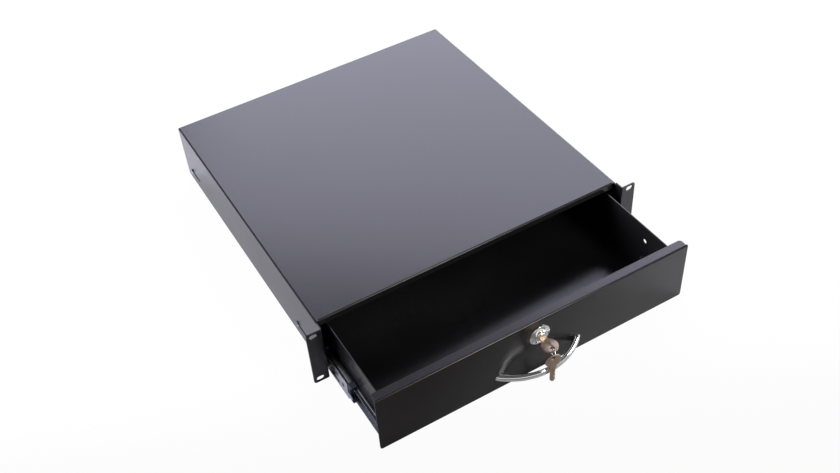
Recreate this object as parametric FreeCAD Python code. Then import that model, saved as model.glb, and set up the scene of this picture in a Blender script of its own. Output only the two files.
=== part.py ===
"""Sliding rack drawer, 2U high, with a keyed lock and ball-bearing slides.

Millimetres. X runs to the right seen from the front, Y runs back into the rack, Z runs up.
The origin is the centre of the pattern of rack slots, on the front faces of the ears.
The drawer is drawn pulled out by drawer_open, with the key in the lock.
"""
import FreeCAD, Part
import math
import os
from FreeCAD import Vector

# ---- rack standard -------------------------------------------------------------------------
ear_span = 482.6          # across both ears
slot_span = 465.1         # between the left and right slot centres
slot_rise = 76.2          # between the lower and upper slot centres
slot_length = 10.3
slot_width = 6.8
panel_height = 88.1       # two rack units, less the usual gap
ear_corner = 3.5

# ---- case ----------------------------------------------------------------------------------
case_width = 443.0
case_tail = 3.0           # from the slides' back ends to the case's back
cover_height = 87.0
cover_setback = 15.3      # how far the cover stops behind the ears
case_sheet = 1.5
case_bend = 0.8           # inside radius of the case's bends
lip_height = 9.0          # lip under the cover's front edge, which the lock catches
lip_inset = 5.0           # from the case's sides to the lip's ends
relief_width = 2.6        # notches where the ears' bends meet the cover's
relief_depth = 3.2
bottom_flange = 15.0
rear_flange = 13.0
rear_flange_margin = 7.0
rear_screw_rise = 43.5    # between the lower and upper screws in the back
base_sheet = 1.2
base_gap = 0.3            # between the base plate's edges and the cover's bends
base_screw_pitch = 280.0
base_screw_inset = 8.0    # from the case's sides to the rows of base screws
base_screw_count = 2

# ---- slides --------------------------------------------------------------------------------
slide_thickness = 12.7
slide_height = 35.0
slide_centre = 20.5       # above the underside
slide_length = 450.0
slide_start = 14.0        # from the ears to the outer members
slide_steel = 1.0
slide_bend = 0.4
ball_radius = 1.6
track_gap = 0.05          # between a ball and its track
track_depth = 0.75
outer_ball_inset = 4.4    # from the case wall to the outer rows of balls
inner_ball_inset = 8.6    # from the case wall to the inner rows of balls
outer_flange = 10.0
mid_inset = 1.9           # from the case wall to the intermediate member
mid_flange_end = 10.9     # from the case wall to the edges of its flanges
mid_setback = 2.0         # behind the outer member's front end, drawer shut
mid_short = 8.0           # how much shorter than the other members it is
inner_flange_end = 5.9    # from the case wall to the edges of the inner member's flanges
inner_start = 3.0         # from the ears to the inner member's front, drawer shut
cage_sheet = 0.5
cage_gap = 0.2            # between a cage's web and the member behind it
cage_start = 130.0        # from the ears to both cages' front ends, drawer shut
cage_length = 210.0
cage_bend = 0.8
cage_rim = 0.6            # sheet left beyond the ball pockets
cage_end = 8.0            # from a cage's ends to its first and last balls
pocket_gap = 0.1          # between a ball and its pocket
ball_slopes = (27.0, 72.0)  # degrees from a ball's middle to its rings of corners
balls_per_row = 5
inner_cage_inset = 4.9    # from the case wall to the inner cage
stop_reach = 9.5          # how far the plastic stop stands in front of the intermediate member
stop_grip = 4.0           # how far it reaches inside that member
stop_web = 1.7
stop_web_length = 4.0
stop_gap = 0.3            # between the stop and the steel on either side of it
stop_round = 1.0
tongue_reach = 8.5
tongue_height = 8.0
tongue_drop = 5.0         # from the slide's centre line down to the tongue's
tongue_round = 2.0
bumper_length = 5.5
bumper_height = 20.0
bumper_thickness = 4.2
bumper_round = 1.2
access_slot_length = 25.0
access_slot_width = 4.0
access_slot_drop = 6.0    # from the slide's centre line down to the slots'
access_slot_start = 22.5  # from the intermediate member's front to its first slot
access_slot_pitch = 120.0
access_slot_count = 2
access_hole_radius = 3.0
access_hole_back = 12.5   # from the intermediate member's front

# ---- screws and nuts -----------------------------------------------------------------------
screw_radius = 2.0
thread_gap = 0.05         # between a screw and the hole that it is threaded in
screw_head_radius = 3.9
screw_head_height = 2.3
screw_head_slope = 0.9    # how much narrower the head is on top
small_screw_radius = 1.5
small_head_radius = 2.9
small_sides = 8           # flats that stand for the round of a small shank, hole or ball
head_sides = 12           # flats that stand for the round of a screw's head
nut_across_flats = 7.0
nut_height = 3.0
hexagon_sides = 6
nut_shoulder = 0.7        # share of a nut's height below its chamfer
through_gap = 0.25        # between a screw and a plain hole
blind_gap = 0.2           # how much deeper a blind hole is than its screw
side_screw_front = 82.0   # from the ears to the front screws in the sides
side_screw_back = 21.0    # from the rear screws to the outer members' back ends
side_slot_front = 29.0    # from a side screw forward to the end of its slot
side_slot_rear = 6.0
side_slot_width = 5.0
wall_screw_start = 63.0   # from the front panel's face to the first screw in the drawer's wall
wall_screw_back = 30.0    # from the last screw to the inner members' back ends
wall_screw_count = 3

# ---- drawer --------------------------------------------------------------------------------
drawer_open = 127.0       # how far the drawer is drawn pulled out
front_width = 438.8
front_sheet = 1.5
front_bend = 0.6
front_lift = 0.3          # the panel's lower edge above the case's underside
front_flange = 12.8
front_flange_notch = 1.5  # from the panel's ends to its flange's
front_flange_corner = 4.0
front_corner = 3.0
tray_sheet = 1.2
tray_bend = 0.8
tray_lift = 4.5           # the tray's underside above the case's
tray_top = 76.4           # the walls' edges above the case's underside
cable_hole_radius = 3.0
cable_hole_back = 60.0    # from the front panel's face
cable_hole_height = 53.5  # above the case's underside
stud_spacing = 330.0
stud_rise = 44.0
stud_centre = 42.0        # above the case's underside
stud_length = 8.0

# ---- handle --------------------------------------------------------------------------------
handle_span = 123.6       # across the outside of the feet
handle_reach = 24.8
handle_foot = 12.3        # each foot along the panel
handle_waist = 6.1        # front to back in the middle
handle_height = 9.4
handle_centre = 20.0      # above the case's underside
handle_bevel = 1.9
handle_screw_inset = 8.3  # from the outside of a foot to its screw
handle_screw_depth = 4.3

# ---- lock and keys -------------------------------------------------------------------------
lock_centre = 62.0        # above the case's underside
lock_head_radius = 14.3
lock_head_rim = 1.2
lock_nose_radius = 8.6
lock_nose_reach = 4.6
lock_barrel_radius = 9.3
lock_barrel_flats = 16.0
lock_barrel_length = 20.0
lock_fit = 0.25           # between the barrel and the panel's hole
lock_nut_flats = 23.0
lock_nut_height = 4.0
plug_radius = 6.0
plug_gap = 0.06           # running fit of the plug in its barrel
plug_proud = 0.8          # how far the plug stands out of the lock's nose
plug_end_gap = 0.3        # between the barrel's end and the cam
cam_seat_width = 7.0
cam_seat_gap = 0.05
cam_seat_short = 0.2      # how far the plug stops inside the cam
cam_sheet = 2.0
cam_bend = 1.0
cam_lip_gap = 0.7         # between the cam and the cover's lip when the drawer is locked
cam_crank_start = 11.0
cam_crank_end = 14.0
cam_length = 22.4
cam_heel = 8.0
cam_width = 14.0
cam_tip_width = 10.0
cam_heel_round = 4.0
cam_crank_round = 3.0
cam_tip_round = 2.0
cam_screw_depth = 5.0
key_thickness = 2.0
key_blade_width = 6.4
key_blade_length = 23.0
key_gap = 0.15            # between the key and its keyway
key_end_gap = 0.5
key_shoulder_gap = 0.4
key_neck = 4.3
key_neck_width = 9.0
key_bow_radius = 10.3
key_hole_radius = 2.6
key_hole_offset = 4.6
key_tip_width = 2.56
key_cut_depth = 1.5
key_shallow_cut = 0.9
key_cut_pitch = 3.4
key_cut_start = 4.5
key_cut_count = 5
key_groove_start = 1.0
key_groove_width = 1.8
key_groove_depth = 0.45
ring_radius = 6.5
ring_wire = 0.6
ring_gap = 0.3            # between the ring's wire and the keys

# ---- how shapes are cut ------------------------------------------------------------------------
overcut = 1.0             # how far a cut starts outside what it cuts
seam = 5.0                # flat sheet taken along with a bend that is joined to it

# ---- worked out from the sizes above ----------------------------------------------------------
case_depth = slide_start + slide_length + case_tail
tray_depth = slide_length
mid_length = slide_length - mid_short
side_screw_rear = slide_start + slide_length - side_screw_back
wall_screw_end = inner_start + slide_length - wall_screw_back
underside = -panel_height / 2
case_half = case_width / 2
wall_inside = case_half - case_sheet
cover_top = underside + cover_height
pocket_radius = (ball_radius + pocket_gap) / math.cos(math.pi / small_sides)
rear_inside = case_depth - base_sheet - case_sheet
base_top = underside + case_sheet + base_sheet
slide_z = underside + slide_centre
tray_half = wall_inside - slide_thickness
tray_inside = tray_half - tray_sheet
tray_low = underside + tray_lift
tray_high = underside + tray_top
tray_inner_face = front_sheet + tray_sheet
tray_end = front_sheet + tray_depth
front_half = front_width / 2
front_low = underside + front_lift
front_high = -underside
track_radius = ball_radius + track_gap
track_outside = track_radius + slide_steel
outer_ball_z = slide_height / 2 - track_outside
outer_under = outer_ball_z + track_radius - track_depth
outer_face = outer_under + slide_steel
mid_face = outer_ball_z - track_radius + track_depth
mid_under = mid_face - slide_steel
inner_ball_z = mid_under + track_depth - track_radius
inner_face = inner_ball_z - track_radius + track_depth
mid_start = slide_start + mid_setback
lock_z = underside + lock_centre
handle_z = underside + handle_centre
plug_face = -lock_nose_reach - plug_proud
cam_start = lock_barrel_length + plug_end_gap
key_start = plug_face - key_shoulder_gap
key_bow_back = key_neck + key_bow_radius
key_rim_back = key_bow_back + (key_hole_offset + key_hole_radius + key_bow_radius) / 2
key_rim_half = (key_bow_radius - key_hole_offset - key_hole_radius) / 2
ring_inside = ring_radius - ring_wire
ring_y = key_start - key_rim_back
ring_drop = math.sqrt((ring_inside - ring_gap) ** 2 - key_rim_half ** 2)
ring_z = lock_z + key_thickness / 2 - ring_drop
spare_hole_z = ring_z - ring_inside + ring_gap - key_hole_radius
X = Vector(1, 0, 0)
Y = Vector(0, 1, 0)
Z = Vector(0, 0, 1)
ORIGIN = Vector(0, 0, 0)
SIDES = (("left", -1), ("right", 1))


# ---- shapes ----------------------------------------------------------------------------------
def block(x0, x1, y0, y1, z0, z1):
    """Rectangular block between two opposite corners."""
    return Part.makeBox(x1 - x0, y1 - y0, z1 - z0, Vector(x0, y0, z0))


def bar(radius, start, end):
    """Round bar from one point to another."""
    along = end.sub(start)
    return Part.makeCylinder(radius, along.Length, start, along)


def regular(radius, sides, centre, height):
    """Corners, at one height, of a regular polygon round a circle's centre."""
    points = []
    for index in range(sides):
        angle = 2 * math.pi * (index + 0.5) / sides
        points.append(centre.add(Vector(radius * math.cos(angle), radius * math.sin(angle), height)))
    return points


def stacked(levels, sides, centre=Vector(0, 0, 0)):
    """Flat-faced solid along Z through regular polygons, from pairs (radius, height)."""
    rings = [regular(radius, sides, centre, height) for radius, height in levels]
    faces = [Part.Face(Part.makePolygon(ring + ring[:1])) for ring in (rings[0], rings[-1])]
    for lower, upper in zip(rings, rings[1:]):
        for index in range(sides):
            following = (index + 1) % sides
            corners = [lower[index], lower[following], upper[following], upper[index]]
            faces.append(Part.Face(Part.makePolygon(corners + corners[:1])))
    solid = Part.Solid(Part.Shell(faces))
    return solid if solid.Volume > 0 else solid.reversed()


def small_bar(radius, start, end):
    """Shank or hole from one point to another, with flats in place of its round."""
    along = end.sub(start)
    return turned(stacked([(radius, 0), (radius, along.Length)], small_sides), Z, along, start)


def outline(corners, place):
    """Face inside the corners (u, v, radius), each rounded by an arc of its radius."""
    ends = []
    arcs = []
    for index, (u, v, radius) in enumerate(corners):
        here = place(u, v)
        back = place(*corners[index - 1][:2]).sub(here).normalize()
        on = place(*corners[(index + 1) % len(corners)][:2]).sub(here).normalize()
        if radius <= 0:
            ends.append((here, here))
            arcs.append(None)
            continue
        half = back.getAngle(on) / 2
        run = radius / math.tan(half)
        middle = back.add(on).normalize()
        depth = radius / math.sin(half) - radius
        first = here.add(back * run)
        last = here.add(on * run)
        ends.append((first, last))
        arcs.append(Part.Arc(first, here.add(middle * depth), last).toShape())
    edges = []
    for index, (first, last) in enumerate(ends):
        if arcs[index]:
            edges.append(arcs[index])
        following = ends[(index + 1) % len(ends)][0]
        if last.distanceToPoint(following) > 1e-6:
            edges.append(Part.LineSegment(last, following).toShape())
    return Part.Face(Part.Wire(edges))


def fold(points, sheet, radius, place):
    """Section of bent sheet along a line of points, with the sheet to the line's left."""
    count = len(points)
    near = []
    far = []
    for index, (u, v) in enumerate(points):
        before = points[max(index - 1, 0)]
        after = points[min(index + 1, count - 1)]
        headings = []
        if index > 0:
            headings.append(math.atan2(v - before[1], u - before[0]))
        if index < count - 1:
            headings.append(math.atan2(after[1] - v, after[0] - u))
        turn = headings[-1] - headings[0]
        turn = math.atan2(math.sin(turn), math.cos(turn))
        middle = headings[0] + turn / 2
        reach = sheet / math.cos(turn / 2)
        offset = (u - reach * math.sin(middle), v + reach * math.cos(middle))
        near_radius = 0
        far_radius = 0
        if turn > 1e-6:
            near_radius = radius + sheet
            far_radius = radius
        if turn < -1e-6:
            near_radius = radius
            far_radius = radius + sheet
        near.append((u, v, near_radius))
        far.append((offset[0], offset[1], far_radius))
    return outline(near + far[::-1], place)


def in_xz(y):
    """Places section points (x, z) at one depth."""
    return lambda u, v: Vector(u, y, v)


def in_yz(x):
    """Places section points (y, z) at one distance from the middle."""
    return lambda u, v: Vector(x, u, v)


def in_xy(z):
    """Places section points (x, y) at one height."""
    return lambda u, v: Vector(u, v, z)


def slide_section(y):
    """Places points (distance in from the case wall, height from the slide's centre line)."""
    return lambda u, v: Vector(wall_inside - u, y, slide_z + v)


def slide_block(s0, s1, y0, y1, z0, z1):
    """Block placed by the slide's section: in from the case wall and up from its centre line."""
    return block(wall_inside - s1, wall_inside - s0, y0, y1, slide_z + z0, slide_z + z1)


def slide_bar(radius, s, z, y0, y1):
    """Round bar along the slide."""
    start = Vector(wall_inside - s, y0, slide_z + z)
    return bar(radius, start, start.add(Y * (y1 - y0)))


def slot_along_y(x0, x1, y0, y1, z, width):
    """Slot through a side wall, round at both ends, from y0 to y1."""
    radius = width / 2
    middle = block(x0, x1, y0 + radius, y1 - radius, z - radius, z + radius)
    front = bar(radius, Vector(x0, y0 + radius, z), Vector(x1, y0 + radius, z))
    rear = bar(radius, Vector(x0, y1 - radius, z), Vector(x1, y1 - radius, z))
    return middle.fuse([front, rear])


def slot_along_x(x, z, length, width, y0, y1):
    """Slot through a front face, round at both ends, centred at x and z."""
    radius = width / 2
    run = length / 2 - radius
    middle = block(x - run, x + run, y0, y1, z - radius, z + radius)
    left = bar(radius, Vector(x - run, y0, z), Vector(x - run, y1, z))
    right = bar(radius, Vector(x + run, y0, z), Vector(x + run, y1, z))
    return middle.fuse([left, right])


def edges_at(shape, **where):
    """The straight edges whose ends lie at the coordinates given, such as x=3 and z=5."""
    found = []
    for edge in shape.Edges:
        ends = [vertex.Point for vertex in edge.Vertexes]
        if len(ends) < 2:
            continue
        if all(abs(getattr(end, axis) - at) < 1e-4 for end in ends for axis, at in where.items()):
            found.append(edge)
    return found


def joined(shape, others):
    """Fuses shapes into one and merges the faces that run on."""
    return shape.fuse(others).removeSplitter()


def mirrored(shape):
    """The same shape on the other side of the middle."""
    return shape.mirror(ORIGIN, X)


def on_side(shape, side):
    """A right-hand shape as it is on that side."""
    return shape if side > 0 else mirrored(shape)


def pulled_out(shape, share=1.0):
    """Moves a shape forward by its share of the drawer's travel."""
    return shape.translated(Vector(0, -drawer_open * share, 0))


def pan_screw(tip_length):
    """Pan-head screw along Z: its head's seat is at zero and the head is above it."""
    shank = stacked([(screw_radius, -tip_length), (screw_radius, 0)], small_sides)
    shoulder = screw_head_height / 2
    top_radius = screw_head_radius - screw_head_slope
    levels = [(screw_head_radius, 0), (screw_head_radius, shoulder), (top_radius, screw_head_height)]
    return shank.fuse(stacked(levels, head_sides))


def turned(shape, from_axis, to_axis, at):
    """Turns a shape made along one axis to point along another, and places it."""
    turn = FreeCAD.Rotation(from_axis, to_axis)
    return shape.transformed(FreeCAD.Placement(at, turn).toMatrix())


# ---- case ------------------------------------------------------------------------------------
def ear_with_wall():
    """Right ear and the strip of side wall in front of the cover, bent from one sheet."""
    points = [(wall_inside, cover_setback), (wall_inside, 0), (ear_span / 2, 0)]
    section = fold(points, case_sheet, case_bend, in_xy(underside))
    ear = section.extrude(Z * panel_height)
    corners = edges_at(ear, x=ear_span / 2, z=underside) + edges_at(ear, x=ear_span / 2, z=-underside)
    ear = ear.makeFillet(ear_corner, corners)
    back = case_sheet + overcut
    for z in (-slot_rise / 2, slot_rise / 2):
        ear = ear.cut(slot_along_x(slot_span / 2, z, slot_length, slot_width, -overcut, back))
    for z0, z1 in ((underside, underside + relief_depth), (-underside - relief_depth, -underside)):
        ear = ear.cut(block(wall_inside, case_half, cover_setback - relief_width, cover_setback, z0, z1))
    return ear


def case_cover():
    """Top, sides and ears: one sheet, with a lip in front and flanges below and behind."""
    cover_rear = case_depth - base_sheet
    section = fold(
        [
            (case_half - bottom_flange, underside),
            (case_half, underside),
            (case_half, cover_top),
            (-case_half, cover_top),
            (-case_half, underside),
            (-case_half + bottom_flange, underside),
        ],
        case_sheet,
        case_bend,
        in_xz(cover_setback),
    )
    cover = section.extrude(Y * (cover_rear - cover_setback))
    lip_half = case_half - lip_inset
    lip_run = case_sheet + seam
    lip_section = fold(
        [
            (cover_setback + lip_run, cover_top),
            (cover_setback, cover_top),
            (cover_setback, cover_top - lip_height),
        ],
        case_sheet,
        case_bend,
        in_yz(-lip_half),
    )
    lip = lip_section.extrude(X * (2 * lip_half))
    lip_end = cover_setback + lip_run
    under = cover_top - 2 * case_sheet
    cover = cover.cut(block(-lip_half, lip_half, cover_setback, lip_end, under, cover_top))
    rear_parts = []
    for side in (-1, 1):
        flange = block(
            wall_inside - rear_flange,
            wall_inside,
            rear_inside,
            cover_rear,
            underside + rear_flange_margin,
            cover_top - rear_flange_margin,
        )
        rear_parts.append(on_side(flange, side))
    ears = [on_side(ear_with_wall(), side) for side in (-1, 1)]
    cover = joined(cover, [lip] + rear_parts + ears)
    for side in (-1, 1):
        for y in (side_screw_front, side_screw_rear):
            slot = slot_along_y(
                wall_inside - overcut,
                case_half + overcut,
                y - side_slot_front,
                y + side_slot_rear,
                slide_z,
                side_slot_width,
            )
            cover = cover.cut(on_side(slot, side))
    for x, y in base_screw_places():
        cover = cover.cut(countersink(x, y))
    for x, z in rear_screw_places():
        start = Vector(x, rear_inside - overcut, z)
        cover = cover.cut(small_bar(screw_radius + thread_gap, start, Vector(x, cover_rear + overcut, z)))
    return cover


def base_screw_places():
    """Centres of the screws that hold the base plate on the cover's lower flanges."""
    x = case_half - base_screw_inset
    middle = (cover_setback + case_depth) / 2
    places = []
    for index in range(base_screw_count):
        y = middle + (index - (base_screw_count - 1) / 2) * base_screw_pitch
        places += [(-x, y), (x, y)]
    return places


def rear_screw_places():
    """Centres of the screws that hold the back on the cover's rear flanges."""
    x = wall_inside - rear_flange / 2
    middle = underside + cover_height / 2
    return [(side * x, middle + rise * rear_screw_rise / 2) for side in (-1, 1) for rise in (-1, 1)]


def countersink(x, y):
    """Countersunk hole up through a lower flange."""
    narrow = small_screw_radius + through_gap
    depth = small_head_radius - small_screw_radius
    levels = [(small_head_radius + through_gap, 0), (narrow, depth), (narrow, case_sheet + overcut)]
    return stacked(levels, small_sides, Vector(x, y, underside))


def case_base():
    """Bottom plate and back, one sheet bent up behind."""
    half = wall_inside - case_bend - base_gap
    low = underside + case_sheet
    high = cover_top - case_sheet - base_gap
    section = fold(
        [(cover_setback, low), (case_depth, low), (case_depth, high)],
        base_sheet,
        case_bend,
        in_yz(-half),
    )
    base = section.extrude(X * (2 * half))
    for x, y in base_screw_places():
        start = Vector(x, y, low - overcut)
        base = base.cut(small_bar(small_screw_radius + thread_gap, start, Vector(x, y, base_top + overcut)))
    for x, z in rear_screw_places():
        start = Vector(x, case_depth - base_sheet - overcut, z)
        base = base.cut(small_bar(screw_radius + through_gap, start, Vector(x, case_depth + overcut, z)))
    return base


def base_screws():
    """Countersunk screws up through the lower flanges into the base plate."""
    depth = small_head_radius - small_screw_radius
    reach = base_top - underside
    levels = [(small_head_radius, 0), (small_screw_radius, depth), (small_screw_radius, reach)]
    screws = [stacked(levels, small_sides, Vector(x, y, underside)) for x, y in base_screw_places()]
    return Part.makeCompound(screws)


def rear_screws():
    """Pan-head screws through the back into the rear flanges."""
    screw = pan_screw(base_sheet + case_sheet)
    return Part.makeCompound([turned(screw, Z, Y, Vector(x, case_depth, z)) for x, z in rear_screw_places()])


# ---- slides ----------------------------------------------------------------------------------
def channel(inset, end, face, sheet, radius, y0, length):
    """Channel of bent sheet along the slide: a web, and two flanges that reach to end."""
    top = math.copysign(face, end - inset)
    points = [(end, top), (inset, top), (inset, -top), (end, -top)]
    return fold(points, sheet, radius, slide_section(y0)).extrude(Y * length)


def rolled_track(s, z, low, high, y0, length):
    """Steel pressed round an upper and a lower row of balls, between two heights."""
    rolls = []
    for sign in (-1, 1):
        roll = slide_bar(track_outside, s, sign * z, y0, y0 + length)
        span = sorted((sign * low, sign * high))
        room = slide_block(s - track_outside, s + track_outside, y0, y0 + length, span[0], span[1])
        rolls.append(roll.common(room))
    return rolls


def groove(s, z, y0, length):
    """Room for an upper and a lower row of balls to run in."""
    return [slide_bar(track_radius, s, sign * z, y0 - overcut, y0 + length + overcut) for sign in (-1, 1)]


def thread_hole(s0, s1, y):
    """Hole for a screw across the slide's section, on its centre line."""
    start = Vector(wall_inside - s1 - overcut, y, slide_z)
    return small_bar(screw_radius + thread_gap, start, Vector(wall_inside - s0 + overcut, y, slide_z))


def slide_outer():
    """Outer member of the right slide, fixed to the case's wall."""
    member = channel(0, outer_flange, outer_face, slide_steel, slide_bend, slide_start, slide_length)
    rolls = rolled_track(
        outer_ball_inset, outer_ball_z, outer_under, slide_height, slide_start, slide_length
    )
    member = joined(member, rolls)
    holes = groove(outer_ball_inset, outer_ball_z, slide_start, slide_length)
    holes += [thread_hole(0, slide_steel, y) for y in (side_screw_front, side_screw_rear)]
    return member.cut(holes)


def slide_mid():
    """Intermediate member of the right slide, drawer shut."""
    member = channel(mid_inset, mid_flange_end, mid_face, slide_steel, slide_bend, mid_start, mid_length)
    rolls = rolled_track(outer_ball_inset, outer_ball_z, 0, mid_face, mid_start, mid_length)
    rolls += rolled_track(inner_ball_inset, inner_ball_z, mid_under, slide_height, mid_start, mid_length)
    web = (mid_inset, mid_inset + slide_steel)
    tongue = slide_block(
        web[0],
        web[1],
        mid_start - tongue_reach,
        mid_start,
        -tongue_drop - tongue_height / 2,
        -tongue_drop + tongue_height / 2,
    )
    corners = []
    for half in (-tongue_height / 2, tongue_height / 2):
        corners += edges_at(tongue, y=mid_start - tongue_reach, z=slide_z - tongue_drop + half)
    tongue = tongue.makeFillet(tongue_round, corners)
    member = joined(member, rolls + [tongue])
    holes = groove(outer_ball_inset, outer_ball_z, mid_start, mid_length)
    holes += groove(inner_ball_inset, inner_ball_z, mid_start, mid_length)
    x0, x1 = wall_inside - web[1] - overcut, wall_inside - web[0] + overcut
    y = mid_start + access_hole_back
    holes.append(bar(access_hole_radius, Vector(x0, y, slide_z), Vector(x1, y, slide_z)))
    for index in range(access_slot_count):
        y = mid_start + access_slot_start + index * access_slot_pitch
        z = slide_z - access_slot_drop
        holes.append(slot_along_y(x0, x1, y, y + access_slot_length, z, access_slot_width))
    return member.cut(holes)


def slide_inner():
    """Inner member of the right slide, fixed to the drawer's wall."""
    member = channel(
        slide_thickness, inner_flange_end, inner_face, slide_steel, slide_bend, inner_start, slide_length
    )
    rolls = rolled_track(inner_ball_inset, inner_ball_z, 0, inner_face, inner_start, slide_length)
    member = joined(member, rolls)
    holes = groove(inner_ball_inset, inner_ball_z, inner_start, slide_length)
    holes += [thread_hole(slide_thickness - slide_steel, slide_thickness, y) for y in wall_screw_places()]
    return member.cut(holes)


def ball_places():
    """Distances back from the ears to the balls, drawer shut."""
    pitch = (cage_length - 2 * cage_end) / (balls_per_row - 1)
    return [cage_start + cage_end + index * pitch for index in range(balls_per_row)]


def cage(inset, ball_inset, ball_z):
    """Strip that keeps an upper and a lower row of balls apart, drawer shut."""
    end = ball_inset + pocket_radius + cage_rim
    strip = channel(inset, end, ball_z + cage_sheet / 2, cage_sheet, cage_bend, cage_start, cage_length)
    pockets = []
    for y in ball_places():
        for sign in (-1, 1):
            middle = Vector(wall_inside - ball_inset, y, slide_z + sign * ball_z)
            pockets.append(small_bar(pocket_radius, middle.sub(Z), middle.add(Z)))
    return strip.cut(pockets)


def balls(ball_inset, ball_z):
    """Upper and lower row of balls, drawer shut."""
    belt, cap = [math.radians(degrees) for degrees in ball_slopes]
    angles = (-cap, -belt, belt, cap)
    levels = [(ball_radius * math.cos(angle), ball_radius * math.sin(angle)) for angle in angles]
    placed = []
    for y in ball_places():
        for sign in (-1, 1):
            middle = Vector(wall_inside - ball_inset, y, slide_z + sign * ball_z)
            placed.append(stacked(levels, small_sides, middle))
    return Part.makeCompound(placed)


def slide_stop():
    """Plastic piece in the front end of the intermediate member, drawer shut."""
    inside = mid_inset + slide_steel + stop_gap
    low = inner_face + stop_gap
    web = slide_block(inside, inside + stop_web, mid_start - stop_web_length, mid_start, -mid_face, mid_face)
    pieces = []
    for sign in (-1, 1):
        span = sorted((sign * low, sign * mid_face))
        pad = slide_block(inside, mid_flange_end, mid_start - stop_reach, mid_start, span[0], span[1])
        corners = edges_at(pad, y=mid_start - stop_reach, x=wall_inside - inside)
        corners += edges_at(pad, y=mid_start - stop_reach, x=wall_inside - mid_flange_end)
        pieces.append(pad.makeFillet(stop_round, corners))
        key = slide_bar(ball_radius, inner_ball_inset, sign * inner_ball_z, mid_start, mid_start + stop_grip)
        room = slide_block(inside, mid_flange_end, mid_start, mid_start + stop_grip, span[0], span[1])
        pieces.append(key.common(room))
    return joined(web, pieces)


def rear_bumper():
    """Rubber block behind the intermediate member, between the outer member's flanges."""
    rear = slide_start + slide_length
    block_end = slide_steel + bumper_thickness
    shape = slide_block(
        slide_steel, block_end, rear - bumper_length, rear, -bumper_height / 2, bumper_height / 2
    )
    return shape.makeFillet(bumper_round, edges_at(shape, x=wall_inside - block_end, y=rear - bumper_length))


def side_screws():
    """Pan-head screws through the case's sides into the outer members."""
    screw = pan_screw(case_sheet + slide_steel)
    placed = []
    for side, axis in ((-1, X.negative()), (1, X)):
        for y in (side_screw_front, side_screw_rear):
            placed.append(turned(screw, Z, axis, Vector(side * case_half, y, slide_z)))
    return Part.makeCompound(placed)


def wall_screw_places():
    """Distances back from the panel's face to the screws in the drawer's walls."""
    pitch = (wall_screw_end - wall_screw_start) / (wall_screw_count - 1)
    return [wall_screw_start + index * pitch for index in range(wall_screw_count)]


def wall_screws():
    """Pan-head screws through the drawer's walls into the inner members."""
    screw = pan_screw(tray_sheet + slide_steel)
    placed = []
    for side, axis in ((-1, X), (1, X.negative())):
        for y in wall_screw_places():
            placed.append(turned(screw, Z, axis, Vector(side * tray_inside, y, slide_z)))
    return Part.makeCompound(placed)


# ---- drawer ----------------------------------------------------------------------------------
def stud_places():
    """Places of the studs across and up the panel."""
    z = underside + stud_centre
    half = stud_spacing / 2
    return [(x, z + rise) for x in (-half, half) for rise in (-stud_rise / 2, stud_rise / 2)]


def handle_screw_places():
    """How far the handle's screws are from the middle."""
    x = handle_span / 2 - handle_screw_inset
    return (-x, x)


def lock_hole(y0, y1):
    """Round hole with two flats for the lock's barrel."""
    radius = lock_barrel_radius + lock_fit
    half = lock_barrel_flats / 2 + lock_fit
    hole = bar(radius, Vector(0, y0, lock_z), Vector(0, y1, lock_z))
    return hole.common(block(-half, half, y0, y1, lock_z - radius, lock_z + radius))


def front_holes(y0, y1):
    """Holes for the lock and the handle's screws."""
    holes = [lock_hole(y0, y1)]
    for x in handle_screw_places():
        holes.append(small_bar(screw_radius + through_gap, Vector(x, y0, handle_z), Vector(x, y1, handle_z)))
    return holes


def drawer_tray():
    """Drawer of one folded sheet: floor, two sides, front and back."""
    corners = [
        (-tray_half, tray_high),
        (-tray_half, tray_low),
        (tray_half, tray_low),
        (tray_half, tray_high),
    ]
    tray = fold(corners, tray_sheet, tray_bend, in_xz(front_sheet)).extrude(Y * tray_depth)
    run = tray_sheet + seam
    half = tray_inside - tray_bend
    tray = tray.cut(block(-half, half, front_sheet, front_sheet + run, tray_low, tray_low + tray_sheet))
    tray = tray.cut(block(-half, half, tray_end - run, tray_end, tray_low, tray_low + tray_sheet))
    front = fold(
        [(front_sheet, tray_high), (front_sheet, tray_low), (front_sheet + run, tray_low)],
        tray_sheet,
        tray_bend,
        in_yz(-half),
    )
    rear = fold(
        [(tray_end - run, tray_low), (tray_end, tray_low), (tray_end, tray_high)],
        tray_sheet,
        tray_bend,
        in_yz(-half),
    )
    tray = joined(tray, [front.extrude(X * (2 * half)), rear.extrude(X * (2 * half))])
    holes = front_holes(front_sheet - overcut, tray_inner_face + overcut)
    for x, z in stud_places():
        start = Vector(x, front_sheet - overcut, z)
        holes.append(small_bar(screw_radius + through_gap, start, Vector(x, tray_inner_face + overcut, z)))
    for side in (-1, 1):
        inner = Vector(side * (tray_inside - overcut), 0, 0)
        outer = Vector(side * (tray_half + overcut), 0, 0)
        for y in wall_screw_places():
            place = Vector(0, y, slide_z)
            holes.append(small_bar(screw_radius + through_gap, inner.add(place), outer.add(place)))
        place = Vector(0, cable_hole_back, underside + cable_hole_height)
        holes.append(bar(cable_hole_radius, inner.add(place), outer.add(place)))
    return tray.cut(holes)


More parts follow.
